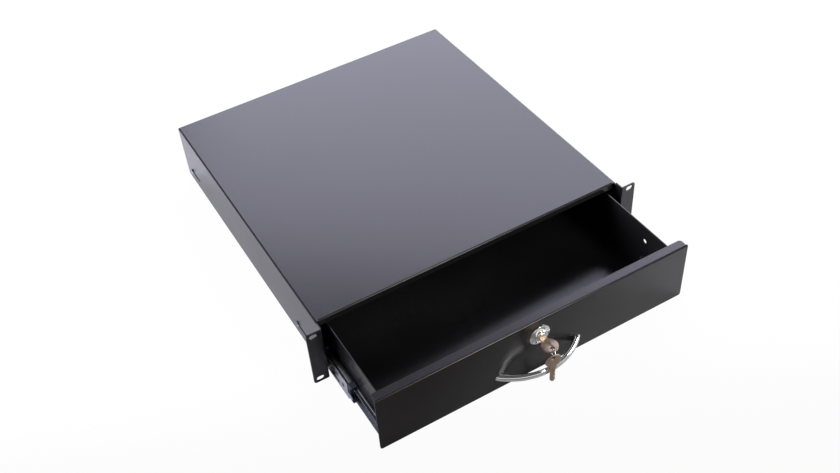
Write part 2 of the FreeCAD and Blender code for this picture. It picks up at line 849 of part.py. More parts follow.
def drawer_front():
    """Front panel with its upper flange and its press-in studs."""
    section = fold(
        [(front_flange, front_high), (0, front_high), (0, front_low)],
        front_sheet,
        front_bend,
        in_yz(-front_half),
    )
    panel = section.extrude(X * front_width)
    notch_start = front_sheet + front_bend
    flange_half = front_half - front_flange_notch
    flange_low = front_high - front_sheet
    for x0, x1 in ((-front_half, -flange_half), (flange_half, front_half)):
        panel = panel.cut(block(x0, x1, notch_start, front_flange, flange_low, front_high))
    corners = []
    for x in (-flange_half, flange_half):
        corners += edges_at(panel, x=x, y=front_flange)
    panel = panel.makeFillet(front_flange_corner, corners)
    corners = []
    for x in (-front_half, front_half):
        corners += edges_at(panel, x=x, z=front_low)
    panel = panel.makeFillet(front_corner, corners)
    panel = panel.cut(front_holes(-overcut, front_sheet + overcut))
    studs = []
    for x, z in stud_places():
        start = Vector(x, front_sheet / 2, z)
        studs.append(small_bar(screw_radius, start, Vector(x, front_sheet + stud_length, z)))
    return panel.fuse(studs)


def hex_nut(flats, height, bore):
    """Hexagon nut along Z, standing on zero, with the bore given."""
    radius = flats / 2 / math.cos(math.pi / hexagon_sides)
    levels = [(radius, 0), (radius, height * nut_shoulder), (flats / 2, height)]
    return stacked(levels, hexagon_sides).cut(bore)


def panel_nuts():
    """Nuts on the panel's studs, inside the drawer."""
    radius = screw_radius + thread_gap
    bore = stacked([(radius, -overcut), (radius, nut_height + overcut)], small_sides)
    nut = hex_nut(nut_across_flats, nut_height, bore)
    return Part.makeCompound([turned(nut, Z, Y, Vector(x, tray_inner_face, z)) for x, z in stud_places()])


def bow(half, reach, z):
    """Arc in plan from one foot to the other, given half its span and how far it stands out."""
    left = Vector(-half, 0, z)
    right = Vector(half, 0, z)
    return Part.Arc(left, Vector(0, -reach, z), right).toShape()


def handle():
    """Bow handle, thicker in the feet than in the middle."""
    low = handle_z - handle_height / 2
    outer_half = handle_span / 2
    inner_half = outer_half - handle_foot
    outer = bow(outer_half, handle_reach, low)
    inner = bow(inner_half, handle_reach - handle_waist, low)
    feet = []
    for side in (-1, 1):
        foot = Part.LineSegment(Vector(side * outer_half, 0, low), Vector(side * inner_half, 0, low))
        feet.append(foot.toShape())
    shape = Part.Face(Part.Wire(Part.__sortEdges__([outer, inner] + feet))).extrude(Z * handle_height)
    curved = [edge for edge in shape.Edges if edge.Curve.TypeId == "Part::GeomCircle"]
    shape = shape.makeChamfer(handle_bevel, curved)
    holes = []
    for x in handle_screw_places():
        start = Vector(x, -handle_screw_depth - blind_gap, handle_z)
        holes.append(small_bar(screw_radius + thread_gap, start, Vector(x, overcut, handle_z)))
    return shape.cut(holes)


def handle_screws():
    """Screws from inside the drawer into the handle's feet."""
    screw = pan_screw(tray_inner_face + handle_screw_depth)
    return Part.makeCompound(
        [turned(screw, Z, Y, Vector(x, tray_inner_face, handle_z)) for x in handle_screw_places()]
    )


# ---- lock and keys ---------------------------------------------------------------------------
def turned_piece(points):
    """Solid of revolution on the lock's axis, through points (radius, y)."""
    corners = [Vector(radius, y, lock_z) for radius, y in points]
    face = Part.Face(Part.makePolygon(corners + corners[:1]))
    return face.revolve(Vector(0, 0, lock_z), Y, 360)


def between_flats(y0, y1, flats, radius):
    """Round bar on the lock's axis with a flat on its left and right."""
    shape = bar(radius, Vector(0, y0, lock_z), Vector(0, y1, lock_z))
    return shape.common(block(-flats / 2, flats / 2, y0, y1, lock_z - radius, lock_z + radius))


def lock_housing():
    """Lock's head and barrel, bored for the plug."""
    bore = plug_radius + plug_gap
    head = turned_piece(
        [
            (bore, 0),
            (lock_head_radius, 0),
            (lock_head_radius, -lock_head_rim),
            (lock_nose_radius, -lock_nose_reach),
            (bore, -lock_nose_reach),
        ]
    )
    barrel = between_flats(0, lock_barrel_length, lock_barrel_flats, lock_barrel_radius)
    rear = lock_barrel_length + overcut
    barrel = barrel.cut(bar(bore, Vector(0, -overcut, lock_z), Vector(0, rear, lock_z)))
    return joined(head, [barrel])


def lock_nut():
    """Nut that clamps the lock on the drawer's front."""
    bore = Part.makeCylinder(lock_barrel_radius + thread_gap, lock_nut_height)
    nut = hex_nut(lock_nut_flats, lock_nut_height, bore)
    return turned(nut, Z, Y, Vector(0, tray_inner_face, lock_z))


def lock_plug():
    """Plug that the key turns, with its keyway level and a seat for the cam."""
    plug = bar(plug_radius, Vector(0, plug_face, lock_z), Vector(0, cam_start, lock_z))
    seat = between_flats(cam_start, cam_start + cam_sheet - cam_seat_short, cam_seat_width, plug_radius)
    keyway = block(
        -key_blade_width / 2 - key_gap,
        key_blade_width / 2 + key_gap,
        plug_face,
        key_start + key_blade_length + key_end_gap,
        lock_z - key_thickness / 2 - key_gap,
        lock_z + key_thickness / 2 + key_gap,
    )
    thread = small_bar(
        screw_radius + thread_gap,
        Vector(0, cam_start + cam_sheet - cam_screw_depth - blind_gap, lock_z),
        Vector(0, cam_start + cam_sheet, lock_z),
    )
    return joined(plug, [seat]).cut([keyway, thread])


def lock_cam():
    """Cranked cam, pointing to the left while the lock is open."""
    tip = cover_setback + case_sheet + cam_lip_gap
    section = fold(
        [
            (-cam_heel, cam_start),
            (cam_crank_start, cam_start),
            (cam_crank_end, tip),
            (cam_length, tip),
        ],
        cam_sheet,
        cam_bend,
        in_xy(lock_z - cam_width / 2),
    )
    strip = section.extrude(Z * cam_width)
    plan = outline(
        [
            (-cam_heel, lock_z - cam_width / 2, cam_heel_round),
            (cam_crank_start, lock_z - cam_width / 2, cam_crank_round),
            (cam_length, lock_z - cam_tip_width / 2, cam_tip_round),
            (cam_length, lock_z + cam_tip_width / 2, cam_tip_round),
            (cam_crank_start, lock_z + cam_width / 2, cam_crank_round),
            (-cam_heel, lock_z + cam_width / 2, cam_heel_round),
        ],
        in_xz(tip - overcut),
    )
    cam = strip.common(plan.extrude(Y * (cam_start + cam_sheet - tip + 2 * overcut)))
    seat_width = cam_seat_width + 2 * cam_seat_gap
    seat = between_flats(tip, cam_start + cam_sheet + overcut, seat_width, plug_radius + cam_seat_gap)
    return mirrored(cam.cut(seat))


def cam_screw():
    """Screw that holds the cam on the plug."""
    return turned(pan_screw(cam_screw_depth), Z, Y, Vector(0, cam_start + cam_sheet, lock_z))


def key():
    """Flat key along Y with its shoulder at zero, its bow in front and its blade behind."""
    half = key_thickness / 2
    bow_disc = Part.makeCylinder(key_bow_radius, key_thickness, Vector(0, -key_bow_back, -half))
    neck = block(-key_neck_width / 2, key_neck_width / 2, -key_bow_back, 0, -half, half)
    width = key_blade_width / 2
    tip = key_blade_length
    blade = outline(
        [
            (-width, -overcut, 0),
            (width, -overcut, 0),
            (width, tip - width, 0),
            (key_tip_width / 2, tip, 0),
            (-key_tip_width / 2, tip, 0),
            (-width, tip - width, 0),
        ],
        in_xy(-half),
    ).extrude(Z * key_thickness)
    shape = joined(bow_disc, [neck, blade])
    hole_centre = Vector(0, -key_bow_back - key_hole_offset, -half - overcut)
    cuts = [Part.makeCylinder(key_hole_radius, key_thickness + 2 * overcut, hole_centre)]
    for index in range(key_cut_count):
        y = key_cut_start + index * key_cut_pitch
        depth = key_cut_depth if index % 2 else key_shallow_cut
        mouth = depth + overcut
        notch = outline(
            [(width + overcut, y - mouth, 0), (width - depth, y, 0), (width + overcut, y + mouth, 0)],
            in_xy(-half - overcut),
        )
        cuts.append(notch.extrude(Z * (key_thickness + 2 * overcut)))
    for z0, z1 in ((-half, -half + key_groove_depth), (half - key_groove_depth, half)):
        x0 = -width / 2 - key_groove_width / 2
        cuts.append(block(x0, x0 + key_groove_width, key_groove_start, tip + overcut, z0, z1))
    return shape.cut(cuts)


def key_in_lock():
    """The key that is in the lock."""
    return key().translated(Vector(0, key_start, lock_z))


def spare_key():
    """The second key, hanging from the ring with its blade down."""
    hanging = key().rotated(ORIGIN, X, -90)
    return hanging.translated(Vector(0, ring_y, spare_hole_z - key_bow_back - key_hole_offset))


def key_ring():
    """Wire ring through both keys' holes."""
    corners = regular(ring_wire, small_sides, Vector(ring_radius, 0, 0), 0)
    wire = Part.Face(Part.makePolygon(corners + corners[:1])).revolve(ORIGIN, Y, 360)
    return turned(wire, Y, X, Vector(0, ring_y, ring_z))


# ---- pieces ----------------------------------------------------------------------------------
mid_share = 0.5
outer_cage_share = mid_share / 2
inner_cage_share = (1 + mid_share) / 2
pieces = {
    "case_cover": case_cover(),
    "case_base": case_base(),
    "base_screws": base_screws(),
    "rear_screws": rear_screws(),
    "side_screws": side_screws(),
    "drawer_tray": pulled_out(drawer_tray()),
    "drawer_front": pulled_out(drawer_front()),
    "panel_nuts": pulled_out(panel_nuts()),
    "wall_screws": pulled_out(wall_screws()),
    "handle": pulled_out(handle()),
    "handle_screws": pulled_out(handle_screws()),
    "lock_housing": pulled_out(lock_housing()),
    "lock_nut": pulled_out(lock_nut()),
    "lock_plug": pulled_out(lock_plug()),
    "lock_cam": pulled_out(lock_cam()),
    "cam_screw": pulled_out(cam_screw()),
    "key_in_lock": pulled_out(key_in_lock()),
    "key_ring": pulled_out(key_ring()),
    "spare_key": pulled_out(spare_key()),
}
slide_pieces = {
    "slide_outer": slide_outer(),
    "slide_mid": pulled_out(slide_mid(), mid_share),
    "slide_inner": pulled_out(slide_inner()),
    "outer_cage": pulled_out(cage(slide_steel + cage_gap, outer_ball_inset, outer_ball_z), outer_cage_share),
    "outer_balls": pulled_out(balls(outer_ball_inset, outer_ball_z), outer_cage_share),
    "inner_cage": pulled_out(cage(inner_cage_inset, inner_ball_inset, inner_ball_z), inner_cage_share),
    "inner_balls": pulled_out(balls(inner_ball_inset, inner_ball_z), inner_cage_share),
    "slide_stop": pulled_out(slide_stop(), mid_share),
    "rear_bumper": rear_bumper(),
}
for name, shape in slide_pieces.items():
    for side_name, side in SIDES:
        pieces[name + "_" + side_name] = on_side(shape, side)

os.makedirs("parts", exist_ok=True)
for name, shape in pieces.items():
    shape.exportStep("parts/" + name + ".step")
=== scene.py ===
"""Sliding rack drawer: finishes, fasteners, handle, lock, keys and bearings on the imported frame.

Metres. X runs to the right seen from the front, Y runs back into the rack, Z runs up.
The drawer stands pulled out, its lock open, one key in the lock and one hanging from the ring.
"""

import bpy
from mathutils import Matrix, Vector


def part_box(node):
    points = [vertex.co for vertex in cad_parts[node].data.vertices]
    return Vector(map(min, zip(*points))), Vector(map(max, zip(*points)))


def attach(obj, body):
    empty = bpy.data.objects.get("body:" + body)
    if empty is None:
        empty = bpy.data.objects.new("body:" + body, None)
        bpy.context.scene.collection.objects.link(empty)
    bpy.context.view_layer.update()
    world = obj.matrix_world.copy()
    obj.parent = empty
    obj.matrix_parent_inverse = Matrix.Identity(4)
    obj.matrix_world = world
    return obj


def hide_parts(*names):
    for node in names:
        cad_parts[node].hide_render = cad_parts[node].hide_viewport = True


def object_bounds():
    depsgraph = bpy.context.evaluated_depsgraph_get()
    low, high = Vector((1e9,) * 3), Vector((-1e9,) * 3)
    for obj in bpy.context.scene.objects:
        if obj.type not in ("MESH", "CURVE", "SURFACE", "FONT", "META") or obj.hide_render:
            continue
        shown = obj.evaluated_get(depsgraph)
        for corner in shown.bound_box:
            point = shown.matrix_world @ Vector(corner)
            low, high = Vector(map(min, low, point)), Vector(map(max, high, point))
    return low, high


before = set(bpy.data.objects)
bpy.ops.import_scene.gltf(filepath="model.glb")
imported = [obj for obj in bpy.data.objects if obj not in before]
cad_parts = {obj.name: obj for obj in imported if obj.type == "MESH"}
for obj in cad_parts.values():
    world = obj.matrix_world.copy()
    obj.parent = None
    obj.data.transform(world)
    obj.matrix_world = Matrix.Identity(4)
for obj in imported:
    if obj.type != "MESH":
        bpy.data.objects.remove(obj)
cad_box = [list(corner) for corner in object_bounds()]

import math

import bmesh
import bpy
from bpy.props import FloatProperty, FloatVectorProperty, PointerProperty
from mathutils import Matrix, Vector

bl_info = {
    "name": "Sliding rack drawer",
    "version": (1, 0, 0),
    "blender": (4, 5, 0),
    "location": "View3D > Sidebar > Rack Drawer",
    "description": "Dresses a lockable rack drawer on ball-bearing slides",
    "category": "Object",
}

SIDES = ("left", "right")


# ---- sizes and colours -------------------------------------------------------------------------
def length(name, description, default):
    """Property for a length in metres."""
    return FloatProperty(
        name=name, description=description, default=default, min=0, unit="LENGTH", precision=5
    )


def share(name, description, default):
    """Property between nothing and all."""
    return FloatProperty(
        name=name, description=description, default=default, min=0, max=1, subtype="FACTOR"
    )


def rotation(name, description, degrees):
    """Property for an angle, its default in degrees."""
    return FloatProperty(
        name=name, description=description, default=math.radians(degrees), subtype="ANGLE"
    )


def watts(name, description, default):
    """Property for a lamp's power in watts."""
    return FloatProperty(name=name, description=description, default=default, min=0, unit="POWER")


def colour(name, description, default):
    """Property for a colour."""
    return FloatVectorProperty(
        name=name, description=description, default=default, min=0, max=1, subtype="COLOR"
    )


class DrawerFinishes(bpy.types.PropertyGroup):
    """Colours and gloss of the drawer's surfaces."""

    coat_dark: colour("Powder coat, deep", "Deepest tone of the black coat", (0.0080, 0.0078, 0.0083))
    coat_light: colour("Powder coat, raised", "Palest tone of the black coat", (0.0135, 0.0132, 0.0142))
    coat_gloss: share("Powder coat gloss", "Roughness of the powder coat", 0.23)
    coat_grain: length("Powder coat grain", "Size of the powder coat's orange peel", 0.0007)
    zinc_dark: colour("Zinc, deep", "Deepest tone of the zinc plate", (0.50, 0.52, 0.62))
    zinc_light: colour("Zinc, pale", "Palest tone of the zinc plate", (0.74, 0.76, 0.84))
    screw_dark: colour("Screw zinc, deep", "Deepest tone of screws and nuts", (0.30, 0.33, 0.41))
    screw_light: colour("Screw zinc, pale", "Palest tone of screws and nuts", (0.52, 0.54, 0.61))
    chrome: colour("Chrome", "Tone of the chrome plate", (0.86, 0.87, 0.89))
    brass_dark: colour("Key brass, deep", "Deepest tone of the keys", (0.40, 0.30, 0.23))
    brass_light: colour("Key brass, pale", "Palest tone of the keys", (0.53, 0.43, 0.35))
    plug_dark: colour("Plug nickel, deep", "Deepest tone of the lock's plug", (0.66, 0.63, 0.57))
    plug_light: colour("Plug nickel, pale", "Palest tone of the lock's plug", (0.82, 0.79, 0.73))
    plastic: colour("Slide stops", "Tone of the plastic stops", (0.030, 0.034, 0.045))
    rubber: colour("Bumpers", "Tone of the rubber bumpers", (0.018, 0.018, 0.018))


class DrawerFasteners(bpy.types.PropertyGroup):
    """Screws and nuts; the balls take their size from the frame."""

    head_radius: length("Head radius", "Radius of a pan head", 0.0039)
    head_height: length("Head height", "Height of a pan head", 0.0023)
    shank_radius: length("Shank radius", "Radius of a machine screw's shank", 0.0020)
    recess_depth: length("Recess depth", "Depth of the cross in a screw's head", 0.0011)
    small_head_radius: length("Small head radius", "Radius of a countersunk head", 0.0029)
    small_shank_radius: length("Small shank radius", "Radius of a countersunk screw's shank", 0.0015)
    nut_across: length("Nut size", "Width of a panel nut across its flats", 0.0070)
    lock_nut_across: length("Lock nut size", "Width of the lock's nut across its flats", 0.0230)


class DrawerLock(bpy.types.PropertyGroup):
    """Handle, lock, keys and ring."""

    handle_waist: length("Handle waist", "Handle's thickness in the middle", 0.0061)
    handle_foot: length("Handle foot", "Length of each foot along the panel", 0.0123)
    handle_fullness: FloatProperty(
        name="Handle fullness",
        description="2 makes the handle's section an ellipse, and more makes it squarer",
        default=2.1,
        min=2,
    )
    nose_radius: length("Nose radius", "Radius of the lock's nose", 0.0086)
    nose_reach: length("Nose reach", "How far the nose stands out of the panel", 0.0046)
    head_rim: length("Rim", "Thickness of the lock's rim", 0.0012)
    barrel_radius: length("Barrel radius", "Radius of the lock's threaded barrel", 0.0093)
    barrel_flats: length("Barrel flats", "Width of the barrel across its flats", 0.0160)
    thread_pitch: length("Thread pitch", "Pitch of the barrel's thread", 0.0010)
    cam_seat_depth: length("Cam seat depth", "Length of the plug's end that carries the cam", 0.0018)
    cam_seat_flats: length("Cam seat flats", "Width of that end across its flats", 0.0070)
    cam_round: length("Cam edge", "Round along the cam's edges", 0.0003)
    plug_gap: length("Plug gap", "Gap between the plug and its barrel", 0.00006)
    keyway_width: length("Keyway width", "Width of the keyway", 0.0067)
    keyway_height: length("Keyway height", "Height of the keyway", 0.0023)
    key_round: length("Key edge", "Round along the keys' edges", 0.00032)
    ring_wire: length("Ring wire", "Radius of the key ring's wire", 0.00045)
    ring_turn: rotation("Ring's turn", "How far the ring hangs turned to the left", 12)
    key_hole_rim: length("Key hole's rim", "From the bow's front to the middle of its hole", 0.0057)


class DrawerStage(bpy.types.PropertyGroup):
    """Floor, lamps and camera."""

    floor_colour: colour("Floor", "Tone of the floor", (0.90, 0.90, 0.90))
    # The next four settings paint a shadow on the floor in front of the drawer. They set a darker tone
    # where the drawer's shadow would fall, and the front panel's gloss mirrors it.
    painted_shadow_colour: colour("Apron", "Tone of the floor in front of the white sheet", (0.10, 0.085, 0.07))
    painted_shadow_turn: rotation("Sheet's edge", "Turn of the white sheet's front edge", 24.7)
    painted_shadow_start: length("Sheet's fade", "Where the white sheet starts to darken", 0.05)
    painted_shadow_full: length("Sheet's end", "Where the white sheet has ended", 0.24)
    floor_glow: share("Floor glow", "Share of the seen floor that is white whatever falls on it", 0.96)
    floor_mirrored: share("Mirrored glow", "That share in gloss and through glass", 0.08)
    backdrop_foot: share("Backdrop's foot", "Rise at which the white backdrop starts to darken", 0.10)
    backdrop_top: share("Backdrop's top", "Rise at which it has darkened", 0.45)
    ceiling: share("Ceiling", "Brightness of the backdrop overhead, where its foot is white", 0.10)
    sky: FloatProperty(name="Sky", description="Strength of the even light all round", default=0.09, min=0)
    back_lamp: watts("Back lamp", "Power of the wide lamp behind", 150)
    front_lamp: watts("Front lamp", "Power of the small lamp in front", 18)
    side_lamp: watts("Right lamp", "Power of the lamp on the right", 46)
    left_lamp: watts("Left lamp", "Power of the lamp on the left", 155)
    lens: FloatProperty(name="Lens", description="Focal length in millimetres", default=44.64, min=1)
    shift: FloatVectorProperty(
        name="Shift", description="Shift of the lens", default=(0.0481, -0.0023), size=2
    )
    azimuth: rotation("Azimuth", "Direction that the camera looks in", -24.69)
    elevation: rotation("Elevation", "How far the camera looks down", 43.635)
    roll: rotation("Roll", "Camera's tilt", -6.522)
    camera_place: FloatVectorProperty(
        name="Camera",
        description="Place of the camera",
        default=(-0.48663, -0.77155, 0.96051),
        subtype="TRANSLATION",
    )


# ---- finishes ----------------------------------------------------------------------------------
def finish(name, deep, pale, metallic, gloss, spread, cloud, grain, relief, stretch=(1, 1, 1)):
    """Material with clouds in its tone and gloss and a fine grain in its surface.

    gloss is its roughness and spread how far that drifts, cloud and grain are sizes in metres,
    relief is the grain's height in metres, and stretch draws the grain out along an axis.
    """
    material = bpy.data.materials.get(name) or bpy.data.materials.new(name)
    material.use_nodes = True
    nodes = material.node_tree.nodes
    join = material.node_tree.links.new
    nodes.clear()
    out = nodes.new("ShaderNodeOutputMaterial")
    shader = nodes.new("ShaderNodeBsdfPrincipled")
    place = nodes.new("ShaderNodeTexCoord")
    drawn = nodes.new("ShaderNodeMapping")
    clouds = nodes.new("ShaderNodeTexNoise")
    specks = nodes.new("ShaderNodeTexNoise")
    tones = nodes.new("ShaderNodeValToRGB")
    rough = nodes.new("ShaderNodeMapRange")
    bump = nodes.new("ShaderNodeBump")
    shader.inputs["Metallic"].default_value = metallic
    shader.inputs["Specular IOR Level"].default_value = 0.5 if metallic else 0.36
    drawn.inputs["Scale"].default_value = stretch
    clouds.inputs["Scale"].default_value = 1 / cloud
    clouds.inputs["Detail"].default_value = 4
    specks.inputs["Scale"].default_value = 1 / grain
    specks.inputs["Detail"].default_value = 2
    tones.color_ramp.elements[0].position = 0.3
    tones.color_ramp.elements[0].color = (*deep, 1)
    tones.color_ramp.elements[1].position = 0.7
    tones.color_ramp.elements[1].color = (*pale, 1)
    rough.inputs["To Min"].default_value = gloss - spread
    rough.inputs["To Max"].default_value = gloss + spread
    bump.inputs["Strength"].default_value = 1
    bump.inputs["Distance"].default_value = relief
    join(place.outputs["Object"], drawn.inputs["Vector"])
    join(drawn.outputs["Vector"], clouds.inputs["Vector"])
    join(drawn.outputs["Vector"], specks.inputs["Vector"])
    join(clouds.outputs[0], tones.inputs["Fac"])
    join(clouds.outputs[0], rough.inputs["Value"])
    join(specks.outputs[0], bump.inputs["Height"])
    join(tones.outputs["Color"], shader.inputs["Base Color"])
    join(rough.outputs["Result"], shader.inputs["Roughness"])
    join(bump.outputs["Normal"], shader.inputs["Normal"])
    join(shader.outputs["BSDF"], out.inputs["Surface"])
    return material


def give(node, material):
    """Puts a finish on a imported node."""
    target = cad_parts[node]
    target.data.materials.clear()
    target.data.materials.append(material)


# ---- shapes ------------------------------------------------------------------------------------
def stood(axis, place):
    """Places a shape made along Z so that it stands along an axis at a place."""
    turn = Vector((0, 0, 1)).rotation_difference(Vector(axis)).to_matrix().to_4x4()
    return Matrix.Translation(place) @ turn


def ring_of(bm, radius, height, steps):
    """Loop of edges round Z."""
    lifted = Matrix.Translation((0, 0, height))
    return bmesh.ops.create_circle(bm, radius=radius, segments=steps, matrix=lifted)["verts"]


def loop_edges(verts):
    """Edges at a loop's corners, in the corners' order."""
    return list(dict.fromkeys(edge for vert in verts for edge in vert.link_edges))


def lofted(bm, loops, closed=True):
    """Skin through loops that have as many corners, capped at both ends."""
    rims = [loop_edges(verts) for verts in loops]
    for first, second in zip(rims, rims[1:]):
        bmesh.ops.bridge_loops(bm, edges=first + second)
    if closed:
        for rim in (rims[0], rims[-1]):
            bmesh.ops.contextual_create(bm, geom=rim)


def finished_piece(bm, name, material, body, replaced=(), angle=35):
    """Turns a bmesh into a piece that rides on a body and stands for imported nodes."""
    bmesh.ops.remove_doubles(bm, verts=bm.verts, dist=1e-6)
    bmesh.ops.recalc_face_normals(bm, faces=bm.faces)
    mesh = bpy.data.meshes.new(name)
    bm.to_mesh(mesh)
    bm.free()
    for polygon in mesh.polygons:
        polygon.use_smooth = True
    mesh.set_sharp_from_angle(angle=math.radians(angle))
    mesh.materials.append(material)
    piece = bpy.data.objects.new(name, mesh)
    bpy.context.scene.collection.objects.link(piece)
    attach(piece, body)
    if replaced:
        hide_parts(*replaced)
    return piece


def spun(bm, profile, steps=96, closed=False):
    """Skin of revolution round Z through (radius, height) pairs; closed joins the last to the first."""
    rows = []
    for index in range(steps):
        turn = math.tau * index / steps
        across, along = math.cos(turn), math.sin(turn)
        rows.append([bm.verts.new((radius * across, radius * along, height)) for radius, height in profile])
    for row, ahead in zip(rows, rows[1:] + rows[:1]):
        rungs = list(zip(row, ahead))
        if closed:
            rungs.append(rungs[0])
        for (first, second), (third, fourth) in zip(rungs, rungs[1:]):
            bm.faces.new((first, second, fourth, third))


def merged_copy(node):
    """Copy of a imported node's mesh with its triangles joined."""
    bm = bmesh.new()
    bm.from_mesh(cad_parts[node].data)
    bmesh.ops.remove_doubles(bm, verts=bm.verts, dist=2e-6)
    return bm


def softened(node, width, angle=25):
    """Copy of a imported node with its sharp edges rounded."""
    bm = merged_copy(node)
    bmesh.ops.dissolve_limit(
        bm, angle_limit=math.radians(0.5), verts=bm.verts, edges=bm.edges, use_dissolve_boundaries=False
    )
    limit = math.radians(angle)
    sharp = [edge for edge in bm.edges if len(edge.link_faces) == 2 and edge.calc_face_angle(0) > limit]
    bmesh.ops.bevel(
        bm,
        geom=sharp,
        offset=width,
        offset_type="OFFSET",
        segments=2,
        profile=0.5,
        affect="EDGES",
        clamp_overlap=True,
        material=-1,
    )
    return bm


# ---- screws and nuts ---------------------------------------------------------------------------
def cross_recess_disc(bm, radius, crown, rim, depth):
    """Domed disc with a tapered cross sunk in it; rim is the height of its edge and crown its middle."""
    cells = 9
    cell = 2 / cells
    arm_reach = 2.6 * cell
    floor_share = 0.62
    bmesh.ops.create_grid(bm, x_segments=cells, y_segments=cells, size=1)
    arms = []
    for face in bm.faces:
        place = face.calc_center_median()
        across, along = sorted((abs(place.x), abs(place.y)))
        if across < cell / 2 and along < arm_reach:
            arms.append(face)
    sunk = {}
    for vert in (vert for face in arms for vert in face.verts):
        if vert not in sunk:
            sunk[vert] = bm.verts.new(vert.co)
    for face in arms:
        bm.faces.new([sunk[vert] for vert in face.verts])
        for edge in face.edges:
            if sum(other in arms for other in edge.link_faces) == 1:
                bm.faces.new(wall_corners(edge, sunk))
    floor = set(sunk.values())
    bmesh.ops.delete(bm, geom=arms, context="FACES_KEEP_BOUNDARY")
    for vert in bm.verts:
        reach = max(abs(vert.co.x), abs(vert.co.y))
        spread = math.hypot(vert.co.x, vert.co.y)
        shrink = reach / spread if spread else 1
        low = vert in floor
        grow = shrink * radius * (floor_share if low else 1)
        height = crown + (rim - crown) * (reach * shrink) ** 2
        vert.co = Vector((vert.co.x * grow, vert.co.y * grow, height - (depth if low else 0)))


def wall_corners(edge, moved):
    """Corners of the wall from an edge to where its ends moved."""
    first, second = edge.verts
    return first, second, moved[second], moved[first]


def drawn_down(bm, rings):
    """Draws a disc's edge on through (radius, height) rings and closes the last."""
    rim = [edge for edge in bm.edges if edge.is_boundary]
    for radius, level in rings:
        grown = {}
        for vert in (vert for edge in rim for vert in edge.verts):
            if vert not in grown:
                flat = Vector((vert.co.x, vert.co.y, 0)).normalized() * radius
                grown[vert] = bm.verts.new((flat.x, flat.y, level))
        for edge in rim:
            bm.faces.new(wall_corners(edge, grown))
        rim = [bm.edges.get([grown[vert] for vert in edge.verts]) for edge in rim]
    bmesh.ops.contextual_create(bm, geom=rim)


def pan_head(fasteners):
    """Pan-head screw's head along Z, its seat at zero."""
    bm = bmesh.new()
    radius = fasteners.head_radius
    height = fasteners.head_height
    cross_recess_disc(bm, radius * 0.86, height, height * 0.80, fasteners.recess_depth)
    drawn_down(bm, ((radius * 0.955, height * 0.62), (radius, height * 0.36), (radius, 0)))
    return bm


def flat_head(fasteners):
    """Countersunk screw's head along Z, its face at zero and its cone below."""
    bm = bmesh.new()
    radius = fasteners.small_head_radius
    shank_radius = fasteners.small_shank_radius
    edge = 0.0001
    cross_recess_disc(bm, radius * 0.96, 0, 0, fasteners.recess_depth)
    drawn_down(bm, ((radius, -edge), (shank_radius, shank_radius - radius)))
    return bm


def shank(bm, radius, start, end, pitch=0.0007):
    """Threaded shank along Z between two heights, with a blunt tip."""
    root = radius * 0.84
    profile = [(1e-5, start), (root, start)]
    turns = max(2, int(abs(end - start) / pitch))
    step = (end - start) / turns
    for index in range(turns):
        profile.append((root, start + step * index))
        profile.append((radius, start + step * (index + 0.5)))
    profile += [(root, end), (1e-5, end)]
    spun(bm, profile, steps=20)


def gathered(parts):
    """One bmesh from pairs of a bmesh and its place."""
    whole = bmesh.new()
    for bm, place in parts:
        mesh = bpy.data.meshes.new("part")
        copy = bm.copy()
        copy.transform(place)
        copy.to_mesh(mesh)
        copy.free()
        whole.from_mesh(mesh)
        bpy.data.meshes.remove(mesh)
    return whole


def solid_places(node):
    """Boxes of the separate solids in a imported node."""
    bm = merged_copy(node)
    seen = set()
    boxes = []
    for vert in bm.verts:
        if vert in seen:
            continue
        stack = [vert]
        seen.add(vert)
        low = vert.co.copy()
        high = vert.co.copy()
        while stack:
            here = stack.pop()
            low = Vector(map(min, low, here.co))
            high = Vector(map(max, high, here.co))
            for edge in here.link_edges:
                other = edge.other_vert(here)
                if other not in seen:
                    seen.add(other)
                    stack.append(other)
        boxes.append((low, high))
    bm.free()
    return boxes


def hexagon(bm, across, height, steps, lowest):
    """Loop round a hexagon; lowest is 1 where its corners are drawn down to a chamfer, or 0."""
    chamfer_slope = 0.22
    verts = ring_of(bm, across / 2, height, steps)
    for vert in verts:
        angle = math.atan2(vert.co.y, vert.co.x)
        inside = (angle % (math.pi / 3)) - math.pi / 6
        reach = 1 / math.cos(inside)
        vert.co.x *= reach
        vert.co.y *= reach
        vert.co.z = height - (reach - 1) * across * chamfer_slope * lowest
    return verts


def hex_nut(across, height, bore):
    """Hexagon nut along Z, standing on zero, its corners chamfered on top."""
    bm = bmesh.new()
    steps = 48
    loops = [
        ring_of(bm, bore, height * 0.06, steps),
        ring_of(bm, bore * 1.06, 0, steps),
        hexagon(bm, across, 0, steps, 0),
        hexagon(bm, across, height, steps, 1),
        ring_of(bm, across / 2 * 0.93, height, steps),
        ring_of(bm, bore * 1.06, height, steps),
        ring_of(bm, bore, height * 0.94, steps),
    ]
    lofted(bm, loops, closed=False)
    bmesh.ops.bridge_loops(bm, edges=loop_edges_between(loops[0]) + loop_edges_between(loops[-1]))
    return bm


def loop_edges_between(verts):
    """Edges that join two corners of the same loop."""
    inside = set(verts)
    return [edge for edge in loop_edges(verts) if set(edge.verts) <= inside]


